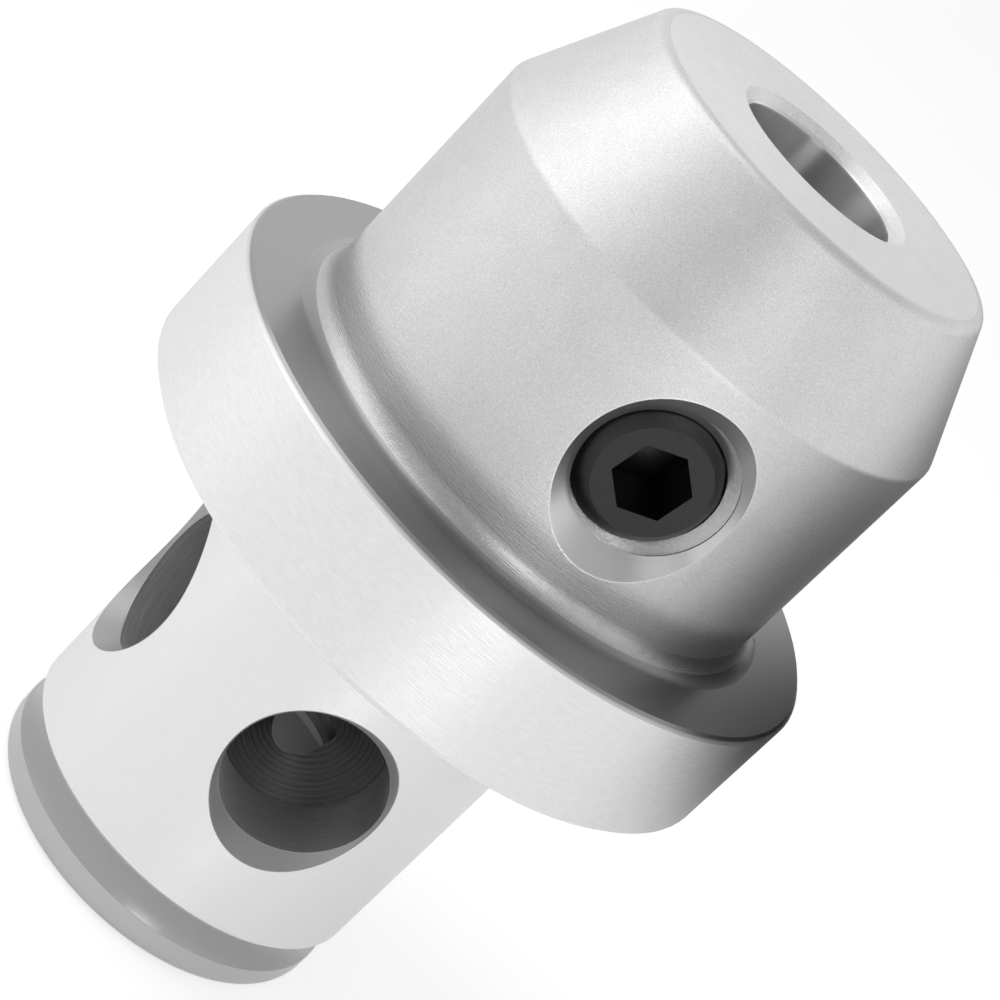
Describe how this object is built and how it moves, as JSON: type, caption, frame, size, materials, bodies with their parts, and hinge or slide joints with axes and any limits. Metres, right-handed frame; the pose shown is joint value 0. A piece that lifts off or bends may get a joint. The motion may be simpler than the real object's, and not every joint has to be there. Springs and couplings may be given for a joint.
{
  "type": "weldon extension holder",
  "caption": "Turned steel extension holder with a ground pilot with conical cross holes, a flange, and a bore whose side screw clamps a flatted cutter shank.",
  "frame": {"origin": "centre of the flange's rear contact face, on the main axis, where the pilot enters its base holder", "axes": "+Z along the main axis towards the nose, -Y towards the clamping screw and the front cross hole"},
  "size_m": [0.063, 0.063, 0.0892],
  "materials": {
    "holder_steel": "ground pilot, flange rim and bore; fine blasted body, cone and nose",
    "black_oxide_steel": "black oxide"
  },
  "bodies": {
    "holder": {"holder_body": "holder_steel"},
    "screw": {"clamping_screw": "black_oxide_steel"}
  },
  "joints": [
    {"name": "clamping_screw_travel", "type": "slide", "parent": "holder", "child": "screw", "axis": [0, -1, 0], "range_m": [-0.012, 0.014]}
  ]
}
